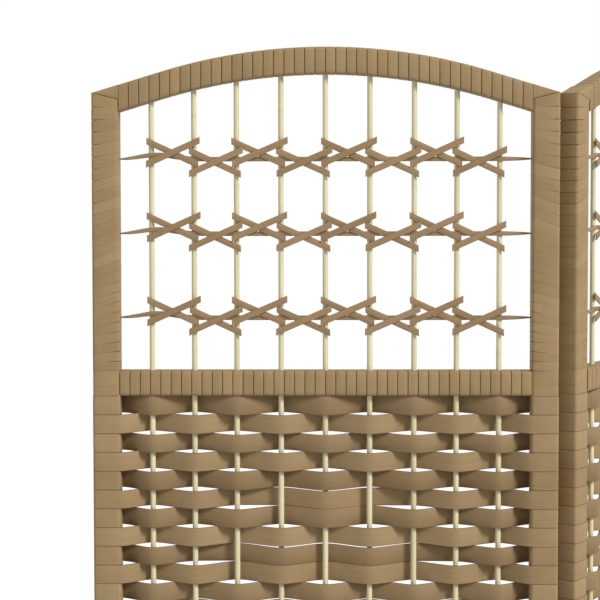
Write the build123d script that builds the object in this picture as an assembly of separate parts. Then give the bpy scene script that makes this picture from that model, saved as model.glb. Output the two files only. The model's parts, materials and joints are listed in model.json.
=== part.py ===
from build123d import *
from math import atan2, cos, degrees, radians, sin, sqrt, tan
import os

# Woven fibre folding screen: two arched panels on backward-folding butt hinges.
# Millimetres, +Z up. The front of the left panel faces -Y.
# The origin is the floor point under the middle of the screen as it stands.

# Panel outline
panel_width = 444.5
leg_height = 72.0
arch_radius = 536.0
arch_end_slope = 17.0
mitre_slope = 14.0

# Wooden frame
stile_width = 23.6
frame_thickness = 18.0
arch_depth = 24.0
rail_height = 22.0
window_height = 264.7
tenon_length = 12.0
tenon_height = 11.0
tenon_thickness = 8.0
tenon_clearance = 0.05

# Fibre wound on the frame
wrap_thickness = 1.0
binding_thickness = 0.6
wrap_edge = 1.4
binding_edge = 0.7
bare_leg = 14.0
lap_clearance = 0.1

# Bamboo rods, set a little wider apart in the middle
rods_each_side = 4
rod_diameter = 5.4
rod_pitch_inner = 42.4
rod_pitch_outer = 40.6
rod_clearance = 0.1
rod_seat = 11.0
rod_end_gap = 1.0
rod_sides = 6

# Woven rows, with one diamond figure after the other down the panel
row_count = 73
row_pitch = 18.13
row_clearance = 0.1
strip_thickness = 1.4
strip_swing = 6.4
first_diamond_row = 4
diamond_spacing = 22
diamond_count = 3
diamond_blocks = 7
block_rows = 3

# Crossed strips in the window
band_drops = (61.4, 132.4, 212.8)
cross_width = 6.2
cross_thickness = 1.0
cross_rise = 14.7
cross_overshoot = 4.4
cross_stagger = 4.5
cross_clearance = 0.1
ribbon_height = 4.4

# How far a cutting block reaches past what it cuts
cut_margin = 5.0

# Butt hinges on the back of the stiles, with their pins a little inside the left panel's edge
fold_angle = 57.0
panel_gap = 1.0
pin_inset = 3.0
hinge_heights = (190.0, 800.0, 1330.0)
leaf_height = 51.0
leaf_width = 14.0
leaf_thickness = 1.5
knuckle_diameter = 6.0
knuckle_count = 3
knuckle_sides = 8
knuckle_clearance = 0.3
pin_diameter = 3.0
pin_clearance = 0.05
pin_sides = 8
hinge_standoff = 3.3

# Levels and faces that follow from these sizes
woven_bottom = leg_height + rail_height + 2 * wrap_thickness
woven_top = woven_bottom + row_count * row_pitch
rail_pitch = rail_height + 2 * wrap_thickness
window_bottom = woven_top + rail_pitch
corner_height = window_bottom + window_height
half_width = panel_width / 2
arch_tangent_x = arch_radius * sin(radians(arch_end_slope))
upper_half = frame_thickness / 2 + wrap_thickness
lower_half = frame_thickness / 2 + strip_thickness
stile_inner = wrap_thickness + stile_width
rod_radius = rod_diameter / 2
hinge_x = panel_width - pin_inset
hinge_y = lower_half + hinge_standoff


def rod_places():
    """X of each rod, from left to right."""
    places = []
    for step in range(-rods_each_side, rods_each_side + 1):
        inner = min(abs(step), 2) * rod_pitch_inner
        outer = max(abs(step) - 2, 0) * rod_pitch_outer
        offset = inner + outer
        places.append(half_width + (offset if step > 0 else -offset))
    return places


def slab(x0, x1, y0, y1, z0, z1):
    """A block between two corners."""
    middle = ((x0 + x1) / 2, (y0 + y1) / 2, (z0 + z1) / 2)
    return Pos(*middle) * Box(x1 - x0, y1 - y0, z1 - z0)


def arch_height(off):
    """Height of the arch's top line at a distance from the panel's middle."""
    slope = radians(arch_end_slope)
    straight = max(off, arch_tangent_x)
    level = corner_height + (half_width - straight) * tan(slope)
    if off < arch_tangent_x:
        level += sqrt(arch_radius**2 - off**2) - arch_radius * cos(slope)
    return level


def arch_outline(inset, depth):
    """Face in XZ between the arch's top line, sunk by inset, and its copy depth below."""
    end_x = half_width - inset
    edges = []
    for sink in (inset, inset + depth):
        end, shoulder, apex = (arch_height(off) - sink for off in (end_x, arch_tangent_x, 0))
        edges += [
            Line((-end_x, end), (-arch_tangent_x, shoulder)),
            ThreePointArc((-arch_tangent_x, shoulder), (0, apex), (arch_tangent_x, shoulder)),
            Line((arch_tangent_x, shoulder), (end_x, end)),
        ]
    low = arch_height(end_x) - inset - depth
    edges += [Line((x, low), (x, low + depth)) for x in (-end_x, end_x)]
    return make_face(edges)


def arch_bar(inset, depth, half_thickness):
    """The arch as a bar of the given depth and thickness."""
    bar = extrude(Plane.XZ * arch_outline(inset, depth), half_thickness, both=True)
    return Pos(half_width, 0, 0) * bar


def mitre_blank(drop):
    """What lies over the two sloping stile tops, lowered by drop, across the whole panel."""
    slope = tan(radians(mitre_slope))
    reach = stile_inner + wrap_thickness
    low = corner_height - drop
    outer, inner = low + cut_margin * slope, low - reach * slope
    bottom, top = inner - half_width, low + half_width
    outline = make_face(
        Polyline(
            (-cut_margin, outer),
            (reach, inner),
            (reach, bottom),
            (panel_width - reach, bottom),
            (panel_width - reach, inner),
            (panel_width + cut_margin, outer),
            (panel_width + cut_margin, top),
            (-cut_margin, top),
            close=True,
        )
    )
    return extrude(Plane.XZ * outline, frame_thickness, both=True)


def between_stiles(inset):
    """Tall block between the stiles, for cutting the arch's pieces to length."""
    x = stile_inner + inset
    y = frame_thickness
    return slab(x, panel_width - x, -y, y, window_bottom, corner_height + half_width)


def rod_slot(z0, z1):
    """Long slot in which all rods stand, from one level to another."""
    half = rod_radius + rod_clearance
    places = rod_places()
    return slab(places[0] - half, places[-1] + half, -half, half, z0, z1)


def arch_slot(bottom, top):
    """The same slot following the arch, between two distances from its wood's underside."""
    bar = arch_bar(wrap_thickness + arch_depth - top, top - bottom, rod_radius + rod_clearance)
    return bar & rod_slot(0, 2 * corner_height)


def stile(x0):
    """Upright of the frame, from the floor to its sloping top, with a mortise for each rail."""
    x1 = x0 + stile_width
    y = frame_thickness / 2
    post = slab(x0, x1, -y, y, 0, corner_height + cut_margin)
    post -= mitre_blank(wrap_thickness)
    inner = x1 if x0 < half_width else x0
    reach = tenon_length + tenon_clearance
    half_y = tenon_thickness / 2 + tenon_clearance
    half_z = tenon_height / 2 + tenon_clearance
    for level in rail_levels():
        middle = level + rail_height / 2
        post -= slab(inner - reach, inner + reach, -half_y, half_y, middle - half_z, middle + half_z)
    return post


def rail_levels():
    """Underside of each straight rail's wood."""
    return [leg_height + wrap_thickness, woven_top + wrap_thickness]


def straight_rail(z0, through):
    """Straight rail with a tenon at each end, slotted through or part way for the rods."""
    middle = z0 + rail_height / 2
    y = frame_thickness / 2
    bar = slab(stile_inner, panel_width - stile_inner, -y, y, z0, z0 + rail_height)
    bar += slab(
        stile_inner - tenon_length,
        panel_width - stile_inner + tenon_length,
        -tenon_thickness / 2,
        tenon_thickness / 2,
        middle - tenon_height / 2,
        middle + tenon_height / 2,
    )
    bottom = z0 - cut_margin if through else z0 + rail_height - rod_seat
    return bar - rod_slot(bottom, z0 + rail_height + cut_margin)


def arched_rail():
    """Arched head of the frame, seated on the sloping stile tops and grooved for the rods."""
    bar = arch_bar(wrap_thickness, arch_depth, frame_thickness / 2)
    bar = bar & (mitre_blank(wrap_thickness) + between_stiles(0))
    return bar - arch_slot(-cut_margin, rod_seat)


def rods():
    """Rods from the bottom rail through the middle rail up into the arch."""
    bottom = rail_levels()[0] + rail_height - rod_seat
    group = []
    for x in rod_places():
        underside = arch_height(abs(x - half_width)) - wrap_thickness - arch_depth
        length = underside + rod_seat - rod_end_gap - bottom
        rod = extrude(RegularPolygon(rod_radius, rod_sides, rotation=30), length)
        group.append(Pos(x, 0, bottom) * rod)
    return group


def ring(width, height, wall, edge):
    """Section of a winding round a bar, with its outer corners eased."""
    outer = Rectangle(width + 2 * wall, height + 2 * wall)
    return chamfer(outer.vertices(), edge) - Rectangle(width, height)


def stile_sleeve(x0, wall, z0, z1, edge=wrap_edge):
    """Fibre wound round a stile between two levels."""
    x1 = x0 + stile_width
    profile = ring(stile_width, frame_thickness, wall, edge)
    return Pos((x0 + x1) / 2, 0, z0) * extrude(profile, z1 - z0)


def upper_stile_wrap(x0):
    """Winding from the middle rail up to the mitre under the arch."""
    low, high = window_bottom + lap_clearance, corner_height + cut_margin
    sleeve = stile_sleeve(x0, wrap_thickness, low, high) - mitre_blank(0)
    return sleeve - arch_bar(wrap_thickness, arch_depth, frame_thickness / 2)


def lower_stile_wrap(x0):
    """Turns of the woven strips round the stile."""
    return stile_sleeve(x0, strip_thickness, woven_bottom, woven_top - lap_clearance)


def leg_wrap(x0):
    """Winding on the leg, which leaves the foot bare."""
    return stile_sleeve(x0, wrap_thickness, bare_leg, leg_height - lap_clearance)


def stile_binding(x0, z0):
    """Thin lashing where a straight rail meets the stile."""
    inner = x0 + stile_width if x0 < half_width else x0
    top = z0 + rail_pitch - 2 * lap_clearance
    sleeve = stile_sleeve(x0, binding_thickness, z0, top, binding_edge)
    half_y = frame_thickness / 2 + cut_margin
    return sleeve - slab(
        inner - cut_margin / 2,
        inner + cut_margin / 2,
        -half_y,
        half_y,
        z0 - cut_margin,
        z0 + rail_pitch + cut_margin,
    )


def rail_sleeve(z0, through):
    """Winding on a straight rail, open where the rods pass."""
    length = panel_width - 2 * (stile_inner + wrap_thickness)
    profile = ring(frame_thickness, rail_height, wrap_thickness, wrap_edge)
    place = Plane((stile_inner + wrap_thickness, 0, z0 + rail_height / 2), (0, 1, 0), (1, 0, 0))
    sleeve = extrude(place * profile, length)
    bottom = z0 - cut_margin if through else z0 + rail_height / 2
    return sleeve - rod_slot(bottom, z0 + rail_height + cut_margin)


def arch_wrap():
    """Winding on the arch, open below where the rods pass."""
    shell = arch_bar(0, arch_depth + 2 * wrap_thickness, upper_half)
    shell -= arch_bar(wrap_thickness, arch_depth, frame_thickness / 2)
    shell = shell & (mitre_blank(-lap_clearance) + between_stiles(wrap_thickness))
    return shell - arch_slot(-cut_margin, rod_seat / 2)


def in_front(row, place):
    """Whether the strip of a row, counted from the top, lies before this rod or stile."""
    off_middle = place - rods_each_side - 1
    figure, turn = divmod(row - first_diamond_row, diamond_spacing)
    if 0 <= figure < diamond_count and turn < diamond_blocks * block_rows:
        block = turn // block_rows
        if abs(off_middle) <= min(block, diamond_blocks - 1 - block) + 1:
            return (off_middle + block) % 2 == 0
    return (row + place) % 2 == 1


def woven_strip(row):
    """One strip, swung before and behind the rods between the two stiles."""
    inner = wrap_thickness + stile_width + strip_thickness
    places = [inner] + rod_places() + [panel_width - inner]
    near, far = [], []
    for number, x in enumerate(places):
        y = -strip_swing if in_front(row, number) else strip_swing
        near.append((x, y - strip_thickness / 2))
        far.append((x, y + strip_thickness / 2))
    outline = make_face(Polyline(*near, *reversed(far), close=True))
    low = woven_top - (row + 1) * row_pitch
    return Pos(0, 0, low) * extrude(outline, row_pitch - row_clearance)


def woven_rows(first):
    """Every second row from the given one."""
    return [woven_strip(row) for row in range(first, row_count, 2)]


def cross_strip(x0, x1, level, rising, layer):
    """One flat slanting strip between two rods, in its layer before them."""
    length = x1 - x0 + 2 * cross_overshoot
    angle = degrees(atan2(2 * cross_rise - cross_width, length))
    front = rod_radius + cross_clearance + layer * (cross_thickness + cross_clearance)
    strip = Box(length / cos(radians(angle)), cross_thickness, cross_width)
    tilt = -angle if rising else angle
    middle = ((x0 + x1) / 2, -front - cross_thickness / 2, level)
    return Pos(*middle) * Rot(0, tilt, 0) * strip


def cross_band(drop):
    """A level ribbon from stile to stile with a cross of two strips in each bay."""
    level = corner_height - drop
    near = rod_radius + cross_clearance
    ends = (stile_inner + wrap_thickness, panel_width - stile_inner - wrap_thickness)
    half = ribbon_height / 2
    pieces = [slab(*ends, -near - cross_thickness, -near, level - half, level + half)]
    places = rod_places()
    for bay, (x0, x1) in enumerate(zip(places, places[1:])):
        middle = level + (cross_stagger if bay % 2 == 0 else -cross_stagger)
        pieces.append(cross_strip(x0, x1, middle, False, 1))
        pieces.append(cross_strip(x0, x1, middle, True, 2))
    return pieces


def knuckle_span(number):
    """Bottom and top of one knuckle, counted from the hinge's middle."""
    part = leaf_height / knuckle_count
    low = -leaf_height / 2 + number * part + (knuckle_clearance / 2 if number else 0)
    high = -leaf_height / 2 + (number + 1) * part
    high -= knuckle_clearance / 2 if number < knuckle_count - 1 else 0
    return low, high


def hinge_leaf(level, side, own):
    """One leaf with its share of the knuckles, to one side of the pin."""
    edge = hinge_x - knuckle_diameter / 2 - knuckle_clearance
    near = edge if side < 0 else panel_width + panel_gap
    far = near + side * leaf_width
    y0, y1 = lower_half, lower_half + leaf_thickness
    bottom, top = level - leaf_height / 2, level + leaf_height / 2
    leaf = slab(min(near, far), max(near, far), y0, y1, bottom, top)
    bore = RegularPolygon(pin_diameter / 2 + pin_clearance, pin_sides, major_radius=False)
    for number in range(own, knuckle_count, 2):
        low, high = knuckle_span(number)
        barrel = extrude(RegularPolygon(knuckle_diameter / 2, knuckle_sides), high - low)
        arm = (min(hinge_x, near), max(hinge_x, near), y0 + knuckle_clearance, y1)
        leaf += slab(*arm, level + low, level + high)
        leaf += Pos(hinge_x, hinge_y, level + low) * barrel
        leaf -= Pos(hinge_x, hinge_y, level + low) * extrude(bore, high - low)
    return leaf


def hinge_pin(level):
    """Pin through the knuckles of one hinge."""
    pin = extrude(RegularPolygon(pin_diameter / 2, pin_sides), leaf_height)
    return Pos(hinge_x, hinge_y, level - leaf_height / 2) * pin


def panel():
    """All pieces of one panel, by name."""
    left, right = wrap_thickness, panel_width - wrap_thickness - stile_width
    pieces = {
        "left_stile": [stile(left)],
        "right_stile": [stile(right)],
        "arched_top_rail": [arched_rail()],
        "middle_rail": [straight_rail(rail_levels()[1], True)],
        "bottom_rail": [straight_rail(rail_levels()[0], False)],
        "bamboo_rods": rods(),
        "left_upper_stile_wrap": [upper_stile_wrap(left)],
        "right_upper_stile_wrap": [upper_stile_wrap(right)],
        "left_lower_stile_wrap": [lower_stile_wrap(left)],
        "right_lower_stile_wrap": [lower_stile_wrap(right)],
        "arch_wrap": [arch_wrap()],
        "middle_rail_wrap": [rail_sleeve(rail_levels()[1], True)],
        "bottom_rail_wrap": [rail_sleeve(rail_levels()[0], False)],
        "even_woven_strips": woven_rows(0),
        "odd_woven_strips": woven_rows(1),
        "upper_cross_band": cross_band(band_drops[0]),
        "middle_cross_band": cross_band(band_drops[1]),
        "lower_cross_band": cross_band(band_drops[2]),
    }
    for name, x0 in (("left", left), ("right", right)):
        pieces[name + "_leg_wrap"] = [leg_wrap(x0)]
        pieces[name + "_stile_bindings"] = [
            stile_binding(x0, leg_height + lap_clearance),
            stile_binding(x0, woven_top + lap_clearance),
        ]
    return pieces


def place_panels():
    """Both panels as they stand, the second swung back about the hinge pins."""
    axis = Pos(hinge_x, hinge_y, 0)
    swing = axis * Rot(0, 0, fold_angle) * axis.inverse()
    moved = {}
    far = Pos(panel_width + panel_gap, 0, 0)
    for name, solids in panel().items():
        moved["left_panel_" + name] = solids
        moved["right_panel_" + name] = [swing * far * solid for solid in solids]
    moved["hinge_leaves_left"] = [hinge_leaf(z, -1, 0) for z in hinge_heights]
    moved["hinge_leaves_right"] = [swing * hinge_leaf(z, 1, 1) for z in hinge_heights]
    moved["hinge_pins"] = [hinge_pin(z) for z in hinge_heights]
    return moved


def write_parts():
    """Centres the screen on the floor and writes one file for each sub-part."""
    os.makedirs("parts", exist_ok=True)
    parts = place_panels()
    boxes = [solid.bounding_box() for solids in parts.values() for solid in solids]
    middle_x = (min(b.min.X for b in boxes) + max(b.max.X for b in boxes)) / 2
    middle_y = (min(b.min.Y for b in boxes) + max(b.max.Y for b in boxes)) / 2
    centre = Pos(-middle_x, -middle_y, 0)
    for name, solids in parts.items():
        moved = Compound([centre * solid for solid in solids])
        export_step(moved, "parts/" + name + ".step")


write_parts()
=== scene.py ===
import bmesh
import bpy
import json
import random
from math import asin, atan2, cos, exp, pi, radians, sin, sqrt, tan
from mathutils import Matrix, Vector


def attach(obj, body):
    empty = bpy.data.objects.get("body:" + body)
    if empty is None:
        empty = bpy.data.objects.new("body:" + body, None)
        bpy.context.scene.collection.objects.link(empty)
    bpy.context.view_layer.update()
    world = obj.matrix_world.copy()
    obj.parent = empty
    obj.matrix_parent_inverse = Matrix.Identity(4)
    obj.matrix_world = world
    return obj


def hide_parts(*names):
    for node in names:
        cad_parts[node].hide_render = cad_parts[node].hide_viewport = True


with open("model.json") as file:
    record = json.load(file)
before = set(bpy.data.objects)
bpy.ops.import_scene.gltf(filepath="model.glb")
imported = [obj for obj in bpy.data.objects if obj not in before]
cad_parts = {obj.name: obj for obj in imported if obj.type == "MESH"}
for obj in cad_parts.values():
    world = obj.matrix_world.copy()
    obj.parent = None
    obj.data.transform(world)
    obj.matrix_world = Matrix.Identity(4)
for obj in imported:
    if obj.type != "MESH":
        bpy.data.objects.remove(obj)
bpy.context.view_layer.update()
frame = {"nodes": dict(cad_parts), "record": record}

# Everything below is in metres, in each panel's own frame: x from its left edge,
# y from the middle of its thickness towards the back, z from the floor.
MM = 0.001

# The panel, with the same sizes as the frame
PANEL_WIDTH = 444.5 * MM
PANEL_GAP = 1.0 * MM
HALF_WIDTH = PANEL_WIDTH / 2
STILE_WIDTH = 23.6 * MM
FRAME_HALF = 9.0 * MM
WRAP = 1.0 * MM
ARCH_RADIUS = 536.0 * MM
ARCH_SLOPE = tan(radians(17.0))
ARCH_TANGENT = ARCH_RADIUS * sin(radians(17.0))
ARCH_HEIGHT = 26.0 * MM
MITRE_SLOPE = tan(radians(14.0))
RAIL_HEIGHT = 24.0 * MM
WINDOW_HEIGHT = 264.7 * MM
LEG_HEIGHT = 72.0 * MM
BARE_LEG = 14.0 * MM
STILE_INNER = WRAP + STILE_WIDTH

# Rods
ROD_RADIUS = 2.6 * MM
ROD_STEPS = (42.4 * MM, 42.4 * MM, 40.6 * MM, 40.6 * MM)
ROD_SEAT = 11.0 * MM

# Woven rows
ROWS = 73
ROW_PITCH = 18.13 * MM
ROW_HEIGHT = 18.2 * MM
STRIP = 1.4 * MM
SWING = 7.0 * MM
ROW_WAVE = 0.8 * MM
TUCK = 2.0 * MM
SLIT = 0.8 * MM
STRIP_EASE = 0.6
FIRST_DIAMOND_ROW = 4
DIAMOND_SPACING = 22
DIAMOND_COUNT = 3
DIAMOND_BLOCKS = 7
BLOCK_ROWS = 3

# Wound turns
TURN_WIDTH = 9.9 * MM
ARCH_END = 23.2 * MM
UPPER_TURNS = 25
UPPER_TURN_TOP = 11.5 * MM
UPPER_TURN_BOTTOM = 8.6 * MM
UPPER_TURN_SLANT = 0.36
TURN_CORNER = 2.3 * MM
REAR_CORNER = 0.4 * MM
TURN_EASE = 0.15 * MM
RAIL_CORNER = 2.7 * MM
LASHING_WALL = 0.9 * MM
LASHING_SLANT = 0.02
LASHING_WIDTHS = (9.4 * MM, 14.6 * MM)
LEG_TURNS = 6

# Crossed strips
BAND_DROPS = (61.4 * MM, 132.4 * MM, 212.8 * MM)
CROSS_WIDTH = 6.5 * MM
CROSS_STRIP = 1.0 * MM
CROSS_CLEARANCE = 0.2 * MM
CROSS_RISE = 14.7 * MM
CROSS_OVERSHOOT = 4.4 * MM
CROSS_STAGGER = 4.5 * MM
CROSS_LONGER = 1.8 * MM
RIBBON_HEIGHT = 4.4 * MM
RIBBON_TIP = 27.0 * MM
RIBBON_RISE = 4.2 * MM
RIBBON_CREST = 36.0 * MM
RIBBON_SPREAD = 22.0 * MM
RIBBON_DROP = 1.4 * MM

# Hinges
HINGE_Y = 13.7 * MM
PIN_INSET = 3.0 * MM
HINGE_HEIGHTS = (190 * MM, 800 * MM, 1330 * MM)
LEAF_HEIGHT = 51.0 * MM
LEAF_WIDTH = 14.0 * MM
LEAF_THICKNESS = 1.5 * MM
KNUCKLE_RADIUS = 3.0 * MM
KNUCKLE_CLEARANCE = 0.3 * MM
KNUCKLES = 3
SCREW_RADIUS = 2.4 * MM
SCREW_STEP = 17.0 * MM
SCREW_REACHES = (5.5 * MM, 9.5 * MM, 5.5 * MM)
PIN_RADIUS = 1.5 * MM
PIN_HEAD_RADIUS = 2.4 * MM

# Levels that follow
WOVEN_BOTTOM = LEG_HEIGHT + RAIL_HEIGHT
WOVEN_TOP = WOVEN_BOTTOM + ROWS * ROW_PITCH
WINDOW_BOTTOM = WOVEN_TOP + RAIL_HEIGHT
CORNER_HEIGHT = WINDOW_BOTTOM + WINDOW_HEIGHT

UP = Vector((0, 0, 1))
chance = random.Random(11)


def srgb(red, green, blue):
    """A colour as it is read off a picture, as linear values."""
    values = []
    for part in (red, green, blue):
        part /= 255
        values.append(part / 12.92 if part <= 0.04045 else ((part + 0.055) / 1.055) ** 2.4)
    return (*values, 1.0)


# Places of the panels

joint = frame["record"]["behaviour"]["joints"][0]
axis_place = Matrix.Translation((joint["pos_m"][0], joint["pos_m"][1], 0))
fold = Matrix.Rotation(radians(-joint["range_deg"][0]), 4, "Z")
PLACES = {
    "left_panel": axis_place @ Matrix.Translation((PIN_INSET - PANEL_WIDTH, -HINGE_Y, 0)),
    "right_panel": axis_place @ fold @ Matrix.Translation((PIN_INSET + PANEL_GAP, -HINGE_Y, 0)),
}
HINGE_PLACES = {"left_panel": axis_place, "right_panel": axis_place @ fold}


def rod_places():
    """X of each rod, from left to right."""
    offsets = [sum(ROD_STEPS[:count]) for count in range(len(ROD_STEPS) + 1)]
    return [HALF_WIDTH - off for off in reversed(offsets[1:])] + [HALF_WIDTH + off for off in offsets]


def arch_height(x):
    """Height of the arch's top line."""
    off = abs(x - HALF_WIDTH)
    level = CORNER_HEIGHT + (HALF_WIDTH - max(off, ARCH_TANGENT)) * ARCH_SLOPE
    if off < ARCH_TANGENT:
        level += sqrt(ARCH_RADIUS**2 - off**2) - sqrt(ARCH_RADIUS**2 - ARCH_TANGENT**2)
    return level


def arch_rise(x):
    """Slope of the arch's top line."""
    off = x - HALF_WIDTH
    steep = min(abs(off), ARCH_TANGENT) / ARCH_RADIUS
    return -tan(asin(steep)) * (1 if off > 0 else -1)


# Mesh building

# Edges sharper than this many degrees stay sharp
STRIP_CREASE = 40
METAL_CREASE = 35

class Strips:
    """Collects swept strips, with their length and breadth, for one mesh."""

    def __init__(self):
        self.points, self.faces, self.uvs = [], [], []
        self.tone, self.edge = [], []

    def sweep(self, frames, profile, closed=False, joint_shade=1.0):
        """Adds a strip through frames of (point, outward normal, breadth vector)."""
        tone = chance.random()
        first, count = len(self.points), len(profile)
        lengths, length = [0.0], 0.0
        for here, there in zip(frames, frames[1:] + frames[:1]):
            length += (there[0] - here[0]).length
            lengths.append(length)
        for point, normal, breadth in frames:
            for across, out in profile:
                self.points.append(point + breadth * across + normal * out)
                self.tone.append(tone)
                # Painted shade: 0 in a strip's middle up to 1 at its sides, scaled per kind of turn; the
                # fibre materials darken by it at the joints.
                self.edge.append(abs(across) * 2 * joint_shade)
        start = tone * 7.0
        spans = len(frames) if closed else len(frames) - 1
        for number in range(spans):
            here, there = number * count, (number + 1) % len(frames) * count
            for side in range(count):
                other = (side + 1) % count
                corners = ((here, side, 0), (here, other, 0), (there, other, 1), (there, side, 1))
                self.faces.append([first + base + step for base, step, _ in corners])
                for base, step, ahead in corners:
                    breadth = frames[number][2].length
                    self.uvs.append((start + lengths[number + ahead], start + profile[step][0] * breadth))
        if not closed:
            last = first + (len(frames) - 1) * count
            for base in (first, last):
                self.faces.append([base + step for step in range(count)])
                self.uvs += [(start + across, start + out) for across, out in profile]

    def mesh(self, name):
        """The collected strips as a mesh with smooth faces."""
        mesh = bpy.data.meshes.new(name)
        mesh.from_pydata([tuple(point) for point in self.points], [], self.faces)
        layer = mesh.uv_layers.new(name="strip")
        layer.data.foreach_set("uv", [value for uv in self.uvs for value in uv])
        # The edge attribute holds the painted joint shade of the strips and the real darker knots of the
        # rods.
        for label, values in (("tone", self.tone), ("edge", self.edge)):
            mesh.attributes.new(label, "FLOAT", "POINT").data.foreach_set("value", values)
        work = bmesh.new()
        work.from_mesh(mesh)
        bmesh.ops.recalc_face_normals(work, faces=work.faces)
        work.to_mesh(mesh)
        work.free()
        mesh.shade_smooth()
        mesh.set_sharp_from_angle(angle=radians(STRIP_CREASE))
        return mesh


FLAT_STRIP = (
    (-0.5, -0.3), (-0.498, 0.4), (-0.485, 0.63), (-0.455, 0.7), (0.455, 0.7), (0.485, 0.63),
    (0.498, 0.4), (0.5, -0.3), (0.475, -0.65), (-0.475, -0.65),
)
LEVEL_TURN = (
    (-0.5, -0.5), (-0.488, 0.0), (-0.46, 0.38), (-0.41, 0.5), (0.41, 0.5), (0.46, 0.38),
    (0.488, 0.0), (0.5, -0.5),
)
# How far the painted shade at the joints between turns reaches in from a turn's edges
UPRIGHT_JOINT_SHADE = 0.93
LEVEL_JOINT_SHADE = 1.03

UPRIGHT_TURN = (
    (-0.5, -0.5), (-0.5, 0.4), (-0.487, 0.475), (-0.455, 0.5), (0.455, 0.5), (0.487, 0.475),
    (0.5, 0.4), (0.5, -0.5),
)
CUT_STRIP = ((-0.5, -0.5), (-0.5, 0.4), (-0.46, 0.5), (0.46, 0.5), (0.5, 0.4), (0.5, -0.5))


def scaled(profile, thickness):
    """A profile with its heights multiplied."""
    return [(across, out * thickness) for across, out in profile]


def rounded(points, radius, steps=4):
    """A path in XY with its corners rounded."""
    path = [points[0]]
    for before, corner, after in zip(points, points[1:], points[2:]):
        back, ahead = (before - corner).normalized(), (after - corner).normalized()
        start, end = corner + back * radius, corner + ahead * radius
        centre = corner + (back + ahead) * radius
        for step in range(steps + 1):
            turn = step / steps * pi / 2
            path.append(centre + (start - centre) * cos(turn) + (end - centre) * sin(turn))
    return path + [points[-1]]


def rounded_loop(half_a, half_b, radius, rear=None, steps=3):
    """Points and outward directions round a rectangle, whose rear corners may be sharper."""
    rear = radius if rear is None else rear
    loop = []
    for quarter, (side_a, side_b) in enumerate(((1, 1), (-1, 1), (-1, -1), (1, -1))):
        for step in range(steps + 1):
            angle = (quarter + step / steps) * pi / 2
            out = (cos(angle), sin(angle))
            bend = rear if side_b > 0 else radius
            a = side_a * (half_a - bend) + bend * out[0]
            b = side_b * (half_b - bend) + bend * out[1]
            loop.append(((a, b), out))
    return loop


def add_piece(name, mesh, body, material, place, nodes=()):
    """Puts a mesh in the scene on its body and says which nodes it stands for."""
    piece = bpy.data.objects.new(name, mesh)
    bpy.context.scene.collection.objects.link(piece)
    piece.matrix_world = place
    mesh.materials.clear()
    mesh.materials.append(material)
    bpy.context.view_layer.update()
    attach(piece, body)
    if nodes:
        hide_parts(*nodes)
    return piece


# Materials

def node_tools(tree):
    """Shortcuts for adding and joining the nodes of a tree."""
    def add(kind, **inputs):
        node = tree.nodes.new(kind)
        for key, value in inputs.items():
            if hasattr(node, key):
                setattr(node, key, value)
            else:
                node.inputs[key.replace("_", " ")].default_value = value
        return node

    return add, tree.links.new


def new_material(name):
    """A material with its shader, and the shortcuts for its nodes."""
    material = bpy.data.materials.new(name)
    material.use_nodes = True
    add, link = node_tools(material.node_tree)
    return material, material.node_tree.nodes["Principled BSDF"], add, link


def mix_colours(add, link, factor, first, second, blend="MIX"):
    """Mix node for two colours; each may be a socket or a value."""
    node = add("ShaderNodeMix", data_type="RGBA", blend_type=blend)
    for socket, value in ((node.inputs[0], factor), (node.inputs[6], first), (node.inputs[7], second)):
        if hasattr(value, "is_linked"):
            link(value, socket)
        else:
            socket.default_value = value
    return node.outputs[2]


def maths(add, link, operation, first, second=0.0, clamp=False):
    """Math node; each value may be a socket or a number."""
    node = add("ShaderNodeMath", operation=operation, use_clamp=clamp)
    for socket, value in ((node.inputs[0], first), (node.inputs[1], second)):
        if hasattr(value, "is_linked"):
            link(value, socket)
        else:
            socket.default_value = value
    return node.outputs[0]


def noise(add, link, vector, scale, detail=3.0, roughness=0.55):
    """Noise over a vector stretched by three scales."""
    mapping = add("ShaderNodeMapping")
    mapping.inputs["Scale"].default_value = scale
    link(vector, mapping.inputs["Vector"])
    node = add("ShaderNodeTexNoise", Scale=1.0, Detail=detail, Roughness=roughness)
    link(mapping.outputs[0], node.inputs["Vector"])
    return node.outputs["Fac"]


def fibre(name, dark, light, joint_shade_colour, coarse=1.0):
    """Flat plant fibre strip: streaks along its length, blotches, and painted shade along its edges, where
    turns and strips meet.
    """
    material, shader, add, link = new_material(name)
    place = add("ShaderNodeUVMap", uv_map="strip").outputs[0]
    spot = add("ShaderNodeTexCoord").outputs["Object"]
    tone = add("ShaderNodeAttribute", attribute_name="tone").outputs["Fac"]
    edge = add("ShaderNodeAttribute", attribute_name="edge").outputs["Fac"]
    fine = noise(add, link, place, (55, 2600 / coarse, 1), 4.0, 0.65)
    broad = noise(add, link, place, (14, 520 / coarse, 1), 2.0)
    blotch = noise(add, link, spot, (38, 38, 38), 3.0)
    mixed = maths(add, link, "MULTIPLY", tone, 0.3)
    for part, share in ((fine, 0.8), (broad, 0.4), (blotch, 0.5)):
        mixed = maths(add, link, "ADD", mixed, maths(add, link, "MULTIPLY", part, share))
    mixed = maths(add, link, "SUBTRACT", mixed, 0.5, clamp=True)
    colour = mix_colours(add, link, mixed, dark, light)
    # Painted shade: each strip darkens towards the third colour at its sides, standing in for the shade in
    # the joints between turns and strips.
    joint_shade = maths(add, link, "POWER", edge, 14.0)
    joint_shade = maths(add, link, "MULTIPLY", joint_shade, 0.9, clamp=True)
    link(mix_colours(add, link, joint_shade, colour, joint_shade_colour), shader.inputs["Base Color"])
    rough = maths(add, link, "ADD", maths(add, link, "MULTIPLY", fine, 0.3), 0.5)
    link(rough, shader.inputs["Roughness"])
    bump = add("ShaderNodeBump", Strength=0.4, Distance=0.0003)
    height = maths(add, link, "ADD", fine, maths(add, link, "MULTIPLY", broad, 0.4))
    link(height, bump.inputs["Height"])
    link(bump.outputs[0], shader.inputs["Normal"])
    shader.inputs["Specular IOR Level"].default_value = 0.35
    return material


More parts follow.
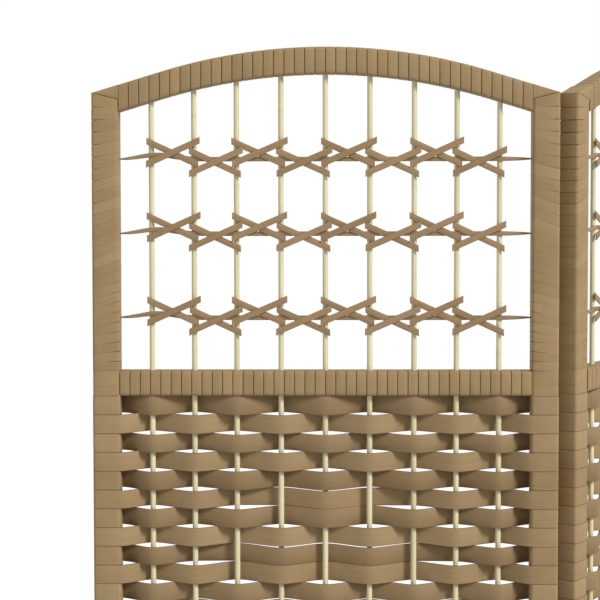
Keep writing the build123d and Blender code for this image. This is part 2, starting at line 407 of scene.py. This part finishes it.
def bamboo():
    """Pale split bamboo with long streaks and faint darker joints."""
    material, shader, add, link = new_material("pale_bamboo")
    spot = add("ShaderNodeTexCoord").outputs["Object"]
    streak = noise(add, link, spot, (900, 900, 14), 3.0)
    patch = noise(add, link, spot, (25, 25, 9), 2.0)
    knot = add("ShaderNodeAttribute", attribute_name="edge").outputs["Fac"]
    mixed = maths(add, link, "ADD", maths(add, link, "MULTIPLY", streak, 0.8), patch)
    mixed = maths(add, link, "SUBTRACT", mixed, 0.45, clamp=True)
    colour = mix_colours(add, link, mixed, srgb(204, 191, 147), srgb(236, 229, 190))
    dark = maths(add, link, "MULTIPLY", knot, 0.5, clamp=True)
    link(mix_colours(add, link, dark, colour, srgb(150, 128, 84)), shader.inputs["Base Color"])
    link(maths(add, link, "ADD", maths(add, link, "MULTIPLY", streak, 0.3), 0.3), shader.inputs["Roughness"])
    bump = add("ShaderNodeBump", Strength=0.3, Distance=0.0003)
    link(streak, bump.inputs["Height"])
    link(bump.outputs[0], shader.inputs["Normal"])
    return material


def frame_wood():
    """Plain sawn softwood with grain along the height."""
    material, shader, add, link = new_material("frame_wood")
    spot = add("ShaderNodeTexCoord").outputs["Object"]
    grain = noise(add, link, spot, (220, 220, 9), 5.0, 0.6)
    pore = noise(add, link, spot, (1500, 1500, 60), 2.0)
    mixed = maths(add, link, "ADD", grain, maths(add, link, "MULTIPLY", pore, 0.4))
    mixed = maths(add, link, "SUBTRACT", mixed, 0.3, clamp=True)
    link(mix_colours(add, link, mixed, srgb(112, 84, 52), srgb(164, 132, 90)), shader.inputs["Base Color"])
    link(maths(add, link, "ADD", maths(add, link, "MULTIPLY", pore, 0.3), 0.45), shader.inputs["Roughness"])
    bump = add("ShaderNodeBump", Strength=0.35, Distance=0.0004)
    link(mixed, bump.inputs["Height"])
    link(bump.outputs[0], shader.inputs["Normal"])
    return material


def hinge_brass():
    """Satin brass, a little duller in patches."""
    material, shader, add, link = new_material("hinge_brass")
    spot = add("ShaderNodeTexCoord").outputs["Object"]
    patch = noise(add, link, spot, (160, 160, 160), 4.0, 0.6)
    scratch = noise(add, link, spot, (300, 300, 3200), 2.0)
    link(mix_colours(add, link, patch, srgb(150, 122, 66), srgb(206, 176, 108)), shader.inputs["Base Color"])
    rough = maths(add, link, "ADD", maths(add, link, "MULTIPLY", scratch, 0.25), 0.24)
    link(rough, shader.inputs["Roughness"])
    shader.inputs["Metallic"].default_value = 1.0
    bump = add("ShaderNodeBump", Strength=0.2, Distance=0.0002)
    link(scratch, bump.inputs["Height"])
    link(bump.outputs[0], shader.inputs["Normal"])
    return material


# The third colour of each fibre is painted shade for the joints between turns and strips.
FIBRE = fibre("woven_fibre", srgb(148, 121, 82), srgb(187, 161, 119), srgb(88, 59, 33))
WOUND = fibre("wound_fibre", srgb(143, 117, 79), srgb(179, 153, 110), srgb(80, 50, 25))
CROSSED = fibre("cross_fibre", srgb(142, 113, 78), srgb(186, 158, 118), srgb(104, 78, 48), 0.6)
BAMBOO = bamboo()
WOOD = frame_wood()
BRASS = hinge_brass()


# Woven rows

def in_front(row, place):
    """Whether the strip of a row, counted from the top, lies before this rod or stile."""
    off_middle = place - len(ROD_STEPS) - 1
    figure, turn = divmod(row - FIRST_DIAMOND_ROW, DIAMOND_SPACING)
    if 0 <= figure < DIAMOND_COUNT and turn < DIAMOND_BLOCKS * BLOCK_ROWS:
        block = turn // BLOCK_ROWS
        if abs(off_middle) <= min(block, DIAMOND_BLOCKS - 1 - block) + 1:
            return (off_middle + block) % 2 == 0
    return (row + place) % 2 == 1


def stile_turn(side):
    """Path of one turn round the left stile, leaving towards the rods on this side."""
    y = side * (FRAME_HALF + STRIP / 2)
    inner, outer = STILE_INNER + STRIP / 2, WRAP - STRIP / 2
    corners = ((inner, y * 0.7), (inner, -y), (outer, -y), (outer, y), (STILE_INNER, y))
    return rounded([Vector((*corner, 0)) for corner in corners], TURN_CORNER)


def row_path(row):
    """Path of one strip from its turn round one stile to its turn round the other."""
    side = -1 if in_front(row, 0) else 1
    start = stile_turn(side)
    end = [Vector((PANEL_WIDTH - point.x, point.y, 0)) for point in reversed(start)]
    stations = [start[-1]]
    for place, x in enumerate(rod_places(), 1):
        front = in_front(row, place)
        depth = SWING * chance.uniform(0.96, 1.04)
        wave = ROW_WAVE * chance.uniform(0.8, 1.2)
        stations.append(Vector((x, -depth if front else depth, -wave if front else wave)))
    stations.append(end[0])
    path = start[:-1]
    steps = 8
    for here, there in zip(stations, stations[1:]):
        for step in range(steps):
            along = step / steps
            eased = along + STRIP_EASE * (along * along * (3 - 2 * along) - along)
            point = here.lerp(there, eased)
            point.x = here.x + (there.x - here.x) * along
            path.append(point)
    return path + end, side


def woven_rows(first):
    """Mesh of every second row."""
    strips = Strips()
    profile = scaled(FLAT_STRIP, MM)
    for row in range(first, ROWS, 2):
        path, side = row_path(row)
        level = WOVEN_TOP - (row + 0.5) * ROW_PITCH
        slit = (row - FIRST_DIAMOND_ROW) % BLOCK_ROWS == 1
        above = TUCK if row == 0 else -SLIT if slit else 0.0
        below = TUCK if row == ROWS - 1 else 0.0
        frames = []
        for number, point in enumerate(path):
            ahead = path[min(number + 1, len(path) - 1)]
            behind = path[max(number - 1, 0)]
            along = Vector((ahead.x - behind.x, ahead.y - behind.y, 0)).normalized()
            normal = Vector((along.y, -along.x, 0)) * -side
            free = STILE_INNER < point.x < PANEL_WIDTH - STILE_INNER
            lift = (above - below) / 2 if free else 0.0
            height = ROW_HEIGHT + (above + below if free else 0.0)
            frames.append((point + UP * (level + lift), normal, UP * height))
        strips.sweep(frames, profile)
    return strips.mesh("woven_rows_" + ("even" if first == 0 else "odd"))


# Wound pieces

def upright_turn(strips, x, level, height, slant=0.0, wall=WRAP):
    """One turn round a stile whose middle is at x."""
    frames = []
    middle = wall / 2
    loop = rounded_loop(STILE_WIDTH / 2 + middle + TURN_EASE, FRAME_HALF + middle, TURN_CORNER, REAR_CORNER)
    for (a, b), (side_a, side_b) in loop:
        point = Vector((x + a, b, level + slant * a))
        frames.append((point, Vector((side_a, side_b, 0)), UP * height))
    strips.sweep(frames, scaled(UPRIGHT_TURN, wall), closed=True, joint_shade=UPRIGHT_JOINT_SHADE)


def level_turn(strips, x, width, top, height, rise=0.0):
    """One turn round a rail or the arch, whose top is at this level."""
    frames = []
    half = height / 2
    for (a, b), (side_a, side_b) in rounded_loop(FRAME_HALF + WRAP / 2, half - WRAP / 2, RAIL_CORNER):
        point = Vector((x, a, top - half + b))
        frames.append((point, Vector((0, side_a, side_b)), Vector((width, 0, width * rise))))
    strips.sweep(frames, scaled(LEVEL_TURN, WRAP), closed=True, joint_shade=LEVEL_JOINT_SHADE)


def level_turns(strips, x0, x1, top, height):
    """Turns of even width along a straight rail."""
    count = round((x1 - x0) / TURN_WIDTH)
    width = (x1 - x0) / count
    for number in range(count):
        level_turn(strips, x0 + (number + 0.5) * width, width, top, height)


def rail_winding(top):
    """Mesh of the winding on a straight rail."""
    strips = Strips()
    inner = STILE_INNER + WRAP
    level_turns(strips, inner, PANEL_WIDTH - inner, top, RAIL_HEIGHT)
    return strips.mesh("rail_winding")


def arch_end(strips, mirrored):
    """Wedge of fibre on the arch's end, over the sloping top of the stile."""
    for x0, x1 in ((0.3 * MM, ARCH_END), (ARCH_END + 0.2 * MM, STILE_INNER + WRAP)):
        frames = []
        steps = 6
        for step in range(steps + 1):
            x = x0 + (x1 - x0) * step / steps
            top = arch_height(x)
            bottom = CORNER_HEIGHT - x * MITRE_SLOPE + 0.1 * MM
            place = PANEL_WIDTH - x if mirrored else x
            frames.append((place, (top + bottom) / 2, (top - bottom) / 2))
        end_loft(strips, frames)


def end_loft(strips, frames):
    """Closed loft of upright sections of changing height."""
    first, tone = len(strips.points), chance.random()
    loops = []
    for place, middle, half in frames:
        radius = min(1.4 * MM, half * 0.9)
        loop = rounded_loop(FRAME_HALF + WRAP, half, radius)
        loops.append([Vector((place, a, middle + b)) for (a, b), _ in loop])
    count = len(loops[0])
    for loop in loops:
        strips.points += loop
        strips.tone += [tone] * count
        strips.edge += [0.2] * count
    for number in range(len(loops) - 1):
        for step in range(count):
            other = (step + 1) % count
            here, there = first + number * count, first + (number + 1) * count
            corners = (here + step, here + other, there + other, there + step)
            strips.faces.append(corners)
            strips.uvs += [(strips.points[c].z + strips.points[c].y, strips.points[c].x) for c in corners]
    for number in (0, len(loops) - 1):
        corners = [first + number * count + step for step in range(count)]
        strips.faces.append(corners)
        strips.uvs += [(strips.points[c].y, strips.points[c].z) for c in corners]


def arch_winding():
    """Mesh of the winding on the arch, with upright joint lines."""
    strips = Strips()
    first = STILE_INNER + WRAP
    count = round((HALF_WIDTH - first) * 2 / TURN_WIDTH)
    width = (HALF_WIDTH - first) * 2 / count
    for number in range(count):
        x = first + (number + 0.5) * width
        level_turn(strips, x, width, arch_height(x), ARCH_HEIGHT, arch_rise(x))
    arch_end(strips, False)
    arch_end(strips, True)
    return strips.mesh("arch_winding")


def upper_winding(mirrored):
    """Mesh of the winding on a stile beside the window, slanting in the middle."""
    strips = Strips()
    x = WRAP + STILE_WIDTH / 2
    level = WINDOW_BOTTOM
    widths = []
    for number in range(UPPER_TURNS):
        share = number / (UPPER_TURNS - 1)
        widths.append(UPPER_TURN_BOTTOM + (UPPER_TURN_TOP - UPPER_TURN_BOTTOM) * share)
    for number, width in enumerate(widths):
        slant = UPPER_TURN_SLANT * sin(pi * (number + 0.5) / UPPER_TURNS) ** 0.8
        upright_turn(strips, x, level + width / 2, width, slant)
        level += width
    frames = []
    loop = rounded_loop(STILE_WIDTH / 2 + WRAP / 2, FRAME_HALF + WRAP / 2, TURN_CORNER, REAR_CORNER)
    for (a, b), (side_a, side_b) in loop:
        top = CORNER_HEIGHT - (x + a) * MITRE_SLOPE
        point = Vector((x + a, b, (level + top) / 2))
        frames.append((point, Vector((side_a, side_b, 0)), UP * (top - level)))
    strips.sweep(frames, scaled(UPRIGHT_TURN, WRAP), closed=True, joint_shade=UPRIGHT_JOINT_SHADE)
    if mirrored:
        for point in strips.points:
            point.x = PANEL_WIDTH - point.x
    return strips.mesh("upper_winding")


def leg_winding(x):
    """Mesh of the level turns on one leg."""
    strips = Strips()
    width = (LEG_HEIGHT - BARE_LEG) / LEG_TURNS
    for number in range(LEG_TURNS):
        upright_turn(strips, x, BARE_LEG + (number + 0.5) * width, width)
    return strips.mesh("leg_winding")


def lashing(x):
    """Mesh of the turns where the two rails meet a stile."""
    strips = Strips()
    for level in (LEG_HEIGHT, WOVEN_TOP):
        for width in LASHING_WIDTHS:
            upright_turn(strips, x, level + width / 2, width, LASHING_SLANT, LASHING_WALL)
            level += width
    return strips.mesh("lashing")


# Rods and crossed strips

def rod_mesh():
    """Mesh of the rods, with their joints as slight swellings."""
    strips = Strips()
    bottom = WOVEN_BOTTOM - ROD_SEAT
    for x in rod_places():
        top = arch_height(x) - ARCH_HEIGHT + ROD_SEAT - 2 * MM
        spots = [(bottom, 1.0, 0.0)]
        knot = bottom + chance.uniform(0.05, 0.3)
        while knot < top - 0.03:
            spots += [
                (knot - 4 * MM, 1.0, 0.0), (knot - 1 * MM, 1.04, 0.1), (knot, 1.01, 0.4),
                (knot + 1 * MM, 1.04, 0.1), (knot + 4 * MM, 1.0, 0.0),
            ]
            knot += chance.uniform(0.24, 0.34)
        spots.append((top, 1.0, 0.0))
        tube(strips, x, spots)
    return strips.mesh("rods")


def tube(strips, x, spots, sides=14):
    """Round upright bar through levels of given swelling and darkness."""
    first = len(strips.points)
    for level, swell, dark in spots:
        for step in range(sides):
            angle = step / sides * 2 * pi
            reach = ROD_RADIUS * swell
            strips.points.append(Vector((x + reach * cos(angle), reach * sin(angle), level)))
            strips.tone.append(0.5)
            strips.edge.append(dark)
    for number in range(len(spots) - 1):
        for step in range(sides):
            other = (step + 1) % sides
            here, there = first + number * sides, first + (number + 1) * sides
            corners = (here + step, here + other, there + other, there + step)
            strips.faces.append(corners)
            strips.uvs += [(step / sides, spots[number][0])] * 4
    for base in (first, first + (len(spots) - 1) * sides):
        strips.faces.append([base + step for step in range(sides)])
        strips.uvs += [(0.0, 0.0)] * sides


def cross_strip(strips, x0, x1, level, rising, layer):
    """One slanting strip of a cross, bowed a little away from the rods."""
    longer = CROSS_LONGER if rising else 0.0
    reach = x1 - x0 + 2 * CROSS_OVERSHOOT + longer
    slope = atan2(2 * CROSS_RISE - CROSS_WIDTH, reach) * (1 if rising else -1)
    along = Vector((cos(slope), 0, sin(slope)))
    lean = chance.uniform(-0.4, 0.4) * MM
    middle = Vector(((x0 + x1 + longer) / 2 + lean, 0, level + longer * 0.4))
    front = ROD_RADIUS + CROSS_CLEARANCE + (layer + 0.5) * 1.1 * CROSS_STRIP
    half = reach / cos(slope) / 2
    frames = []
    steps = 10
    for step in range(steps + 1):
        share = step / steps * 2 - 1
        bow = 0.35 * MM * (1 - share * share) * (layer - 1)
        point = middle + along * (half * share) - Vector((0, front + bow, 0))
        frames.append((point, Vector((0, -1, 0)), UP * CROSS_WIDTH))
    strips.sweep(frames, scaled(CUT_STRIP, CROSS_STRIP))


def ribbon(strips, level):
    """Strip woven through the middles of the crosses, its ends drawn to twisted points."""
    x0, x1 = STILE_INNER + WRAP, PANEL_WIDTH - STILE_INNER - WRAP
    front = ROD_RADIUS + CROSS_CLEARANCE + CROSS_STRIP / 2
    frames = []
    steps = 96
    for step in range(steps + 1):
        x = x0 + (x1 - x0) * step / steps
        share = min(min(x - x0, x1 - x) / RIBBON_TIP, 1.0)
        turn = (1 - share) ** 2 * radians(70) * (1 if x < HALF_WIDTH else -1)
        height = RIBBON_HEIGHT * (0.12 + 0.88 * sqrt(share))
        normal = Vector((0, -cos(turn), sin(turn)))
        breadth = Vector((0, sin(turn), cos(turn))) * height
        wave = RIBBON_RISE * exp(-(((x - x0 - RIBBON_CREST) / RIBBON_SPREAD) ** 2))
        point = Vector((x, -front * share, level + wave - RIBBON_DROP))
        frames.append((point, normal, breadth))
    strips.sweep(frames, scaled(CUT_STRIP, CROSS_STRIP))


def cross_band(drop):
    """Mesh of one band: the ribbon and a cross in each bay."""
    strips = Strips()
    level = CORNER_HEIGHT - drop
    ribbon(strips, level)
    places = rod_places()
    for bay, (x0, x1) in enumerate(zip(places, places[1:])):
        middle = level + (CROSS_STAGGER if bay % 2 == 0 else -CROSS_STAGGER)
        cross_strip(strips, x0, x1, middle, False, 1)
        cross_strip(strips, x0, x1, middle, True, 2)
    return strips.mesh("cross_band")


# Hinges

def barrel(work, z0, z1, radius, sides=28, bevel=0.3 * MM):
    """Round bar on the pins' axis, with eased ends."""
    place = Matrix.Translation((0, 0, (z0 + z1) / 2))
    made = bmesh.ops.create_cone(
        work, cap_ends=True, segments=sides, radius1=radius, radius2=radius, depth=z1 - z0, matrix=place
    )
    rims = {e for v in made["verts"] for e in v.link_edges if abs(e.verts[0].co.z - e.verts[1].co.z) < 1e-6}
    bmesh.ops.bevel(work, geom=list(rims), offset=bevel, segments=2, affect="EDGES")


def screw(work, x, y, z):
    """Flat screw head with a raised line across it, facing the back."""
    turned = Matrix.Rotation(pi / 2, 4, "X")
    place = Matrix.Translation((x, y, z)) @ turned
    made = bmesh.ops.create_cone(
        work, cap_ends=True, segments=20, radius1=SCREW_RADIUS, radius2=SCREW_RADIUS, depth=0.5 * MM,
        matrix=place,
    )
    rims = {e for v in made["verts"] for e in v.link_edges if abs(e.verts[0].co.y - e.verts[1].co.y) < 1e-6}
    bmesh.ops.bevel(work, geom=list(rims), offset=0.12 * MM, segments=1, affect="EDGES")
    line = Matrix.Diagonal((SCREW_RADIUS * 1.5, 0.35 * MM, 0.35 * MM, 1))
    spot = Matrix.Translation((x, y + 0.28 * MM, z)) @ Matrix.Rotation(0.4, 4, "Y")
    bmesh.ops.create_cube(work, size=1.0, matrix=spot @ line)


def hinge_leaves(side, own):
    """Mesh of three leaves to one side of the pins, with their knuckles and screws."""
    work = bmesh.new()
    face = FRAME_HALF + STRIP - HINGE_Y
    part = LEAF_HEIGHT / KNUCKLES
    height = part - KNUCKLE_CLEARANCE
    near = PIN_INSET + PANEL_GAP if side > 0 else -KNUCKLE_RADIUS - KNUCKLE_CLEARANCE
    for level in HINGE_HEIGHTS:
        middle = (near + side * LEAF_WIDTH / 2, face + LEAF_THICKNESS / 2, level)
        block(work, middle, (LEAF_WIDTH, LEAF_THICKNESS, LEAF_HEIGHT), 0.4 * MM)
        for number in range(own, KNUCKLES, 2):
            low = level - LEAF_HEIGHT / 2 + number * part + KNUCKLE_CLEARANCE / 2
            barrel(work, low, low + height, KNUCKLE_RADIUS)
            size = (abs(near) + 0.5 * MM, LEAF_THICKNESS - KNUCKLE_CLEARANCE, height)
            y = face + (LEAF_THICKNESS + KNUCKLE_CLEARANCE) / 2
            block(work, ((near + side * 0.5 * MM) / 2, y, low + height / 2), size, 0.1 * MM)
        for step, reach in zip((-1, 0, 1), SCREW_REACHES):
            screw(work, near + side * reach, face + LEAF_THICKNESS, level + step * SCREW_STEP)
    return hinge_mesh(work, "hinge_leaves")


def block(work, middle, size, bevel):
    """Block with eased edges."""
    place = Matrix.Translation(middle) @ Matrix.Diagonal((*size, 1))
    made = bmesh.ops.create_cube(work, size=1.0, matrix=place)
    edges = {edge for vertex in made["verts"] for edge in vertex.link_edges}
    bmesh.ops.bevel(work, geom=list(edges), offset=bevel, segments=2, affect="EDGES")


def hinge_pins():
    """Mesh of the three pins, with small domed heads above and below the knuckles."""
    work = bmesh.new()
    for level in HINGE_HEIGHTS:
        barrel(work, level - LEAF_HEIGHT / 2, level + LEAF_HEIGHT / 2, PIN_RADIUS, 20)
        for end in (-1, 1):
            z = level + end * (LEAF_HEIGHT / 2 + 0.5 * MM)
            barrel(work, z - 0.6 * MM, z + 0.6 * MM, PIN_HEAD_RADIUS, 20, 0.5 * MM)
    return hinge_mesh(work, "hinge_pins")


def hinge_mesh(work, name):
    """Finishes a hinge mesh."""
    bmesh.ops.recalc_face_normals(work, faces=work.faces)
    mesh = bpy.data.meshes.new(name)
    work.to_mesh(mesh)
    work.free()
    mesh.shade_smooth()
    mesh.set_sharp_from_angle(angle=radians(METAL_CREASE))
    return mesh


# Dressing the panels

def dress_panels():
    """Gives both panels their strips, turns, rods and crosses."""
    left_x, right_x = WRAP + STILE_WIDTH / 2, PANEL_WIDTH - WRAP - STILE_WIDTH / 2
    pieces = (
        ("weave_even", woven_rows(0), FIBRE, "woven_fibre", ("even_woven_strips", "left_lower_stile_wrap")),
        ("weave_odd", woven_rows(1), FIBRE, "woven_fibre", ("odd_woven_strips", "right_lower_stile_wrap")),
        ("arch_winding", arch_winding(), WOUND, "wound_fibre", ("arch_wrap",)),
        ("middle_winding", rail_winding(WINDOW_BOTTOM), WOUND, "wound_fibre", ("middle_rail_wrap",)),
        ("bottom_winding", rail_winding(WOVEN_BOTTOM), WOUND, "wound_fibre", ("bottom_rail_wrap",)),
        ("left_upper_winding", upper_winding(False), WOUND, "wound_fibre", ("left_upper_stile_wrap",)),
        ("right_upper_winding", upper_winding(True), WOUND, "wound_fibre", ("right_upper_stile_wrap",)),
        ("left_leg_winding", leg_winding(left_x), WOUND, "wound_fibre", ("left_leg_wrap",)),
        ("right_leg_winding", leg_winding(right_x), WOUND, "wound_fibre", ("right_leg_wrap",)),
        ("left_lashings", lashing(left_x), WOUND, "wound_fibre", ("left_stile_bindings",)),
        ("right_lashings", lashing(right_x), WOUND, "wound_fibre", ("right_stile_bindings",)),
        ("rods", rod_mesh(), BAMBOO, "bamboo", ("bamboo_rods",)),
        ("upper_crosses", cross_band(BAND_DROPS[0]), CROSSED, "cross_fibre", ("upper_cross_band",)),
        ("middle_crosses", cross_band(BAND_DROPS[1]), CROSSED, "cross_fibre", ("middle_cross_band",)),
        ("lower_crosses", cross_band(BAND_DROPS[2]), CROSSED, "cross_fibre", ("lower_cross_band",)),
    )
    for body, place in PLACES.items():
        for name, mesh, material, slot, nodes in pieces:
            names = [body + "_" + node for node in nodes]
            add_piece(body + "_" + name, mesh, body, material, place, names)


def dress_hinges():
    """Gives the hinges round knuckles, eased plates and screws."""
    for body, side, own, node in (
        ("left_panel", -1, 0, "hinge_leaves_left"),
        ("right_panel", 1, 1, "hinge_leaves_right"),
    ):
        mesh = hinge_leaves(side, own)
        add_piece("brass_leaves_" + body, mesh, body, BRASS, HINGE_PLACES[body], [node])
    add_piece("brass_pins", hinge_pins(), "left_panel", BRASS, axis_place, ["hinge_pins"])


def finish_nodes():
    """Gives the frame's own nodes that stay in sight their wood."""
    for name, node in frame["nodes"].items():
        node.data.materials.clear()
        if name.endswith("_stile") or name.endswith("_rail"):
            node.data.materials.append(WOOD)
        elif "rods" in name:
            node.data.materials.append(BAMBOO)
        elif name.startswith("hinge"):
            node.data.materials.append(BRASS)
        else:
            node.data.materials.append(WOUND)


# Room, light and camera

def seen_directly(add, link):
    """1 for camera, glossy and transmission rays, 0 for the rest."""
    path = add("ShaderNodeLightPath")
    shown = maths(add, link, "MAXIMUM", path.outputs["Is Camera Ray"], path.outputs["Is Glossy Ray"])
    return maths(add, link, "MAXIMUM", shown, path.outputs["Is Transmission Ray"])


def make_floor():
    """Wide pale floor that looks white but keeps the shadow."""
    half = 9.0
    mesh = bpy.data.meshes.new("floor")
    corners = [(-half, -half, 0), (half, -half, 0), (half, half, 0), (-half, half, 0)]
    mesh.from_pydata(corners, [], [(0, 1, 2, 3)])
    floor = bpy.data.objects.new("floor", mesh)
    floor.location.z = -0.0005
    bpy.context.scene.collection.objects.link(floor)
    material, shader, add, link = new_material("pale_floor")
    shader.inputs["Base Color"].default_value = (0.74, 0.74, 0.74, 1)
    shader.inputs["Roughness"].default_value = 0.9
    shader.inputs["Specular IOR Level"].default_value = 0.1
    shader.inputs["Emission Color"].default_value = (1, 1, 1, 1)
    glow = maths(add, link, "MULTIPLY", seen_directly(add, link), 0.44)
    link(glow, shader.inputs["Emission Strength"])
    mesh.materials.append(material)


def make_world():
    """White backdrop in view, with a softer even light on the object."""
    world = bpy.data.worlds.new("studio")
    world.use_nodes = True
    bpy.context.scene.world = world
    tree = world.node_tree
    background = tree.nodes["Background"]
    add, link = node_tools(tree)
    level = add("ShaderNodeMapRange")
    level.inputs["To Min"].default_value = 0.33
    level.inputs["To Max"].default_value = 1.0
    link(seen_directly(add, link), level.inputs["Value"])
    link(level.outputs[0], background.inputs["Strength"])
    background.inputs["Color"].default_value = (1, 1, 1, 1)


def make_lights():
    """Soft key from the upper right in front, and a weak fill from the left."""
    for name, towards, strength, spread in (
        ("key", (-0.66, 0.52, -0.54), 2.7, 16),
        ("fill", (0.75, 0.6, -0.3), 0.3, 40),
    ):
        lamp = bpy.data.lights.new(name, "SUN")
        lamp.energy = strength
        lamp.angle = radians(spread)
        holder = bpy.data.objects.new(name, lamp)
        holder.rotation_euler = Vector(towards).to_track_quat("-Z", "Y").to_euler()
        bpy.context.scene.collection.objects.link(holder)


def make_camera():
    """Camera near the photograph's place: fitted to it, then turned for a smaller shift."""
    focal_px, centre_px, picture_px = 1803.7, (292.1, 272.0), 600.0
    distance, across, below_corner = 1713.2 * MM, 216.1 * MM, 82.1 * MM
    pitch, roll, yaw = 0.0513, -0.0013, 0.0149
    data = bpy.data.cameras.new("camera")
    data.sensor_width = 36.0
    data.lens = focal_px * data.sensor_width / picture_px
    data.shift_x = (picture_px / 2 - centre_px[0]) / picture_px
    data.shift_y = (centre_px[1] - picture_px / 2) / picture_px
    camera = bpy.data.objects.new("camera", data)
    bpy.context.scene.collection.objects.link(camera)
    front = -FRAME_HALF - WRAP - distance
    spot = PLACES["left_panel"] @ Vector((across, front, CORNER_HEIGHT - below_corner))
    turn = Matrix.Rotation(yaw, 4, "Z") @ Matrix.Rotation(pi / 2 - pitch, 4, "X")
    camera.matrix_world = Matrix.Translation(spot) @ turn @ Matrix.Rotation(roll, 4, "Z")
    bpy.context.scene.camera = camera


finish_nodes()
dress_panels()
dress_hinges()
make_floor()
make_world()
make_lights()
make_camera()
bpy.context.scene.view_settings.view_transform = "Standard"

bpy.context.view_layer.update()
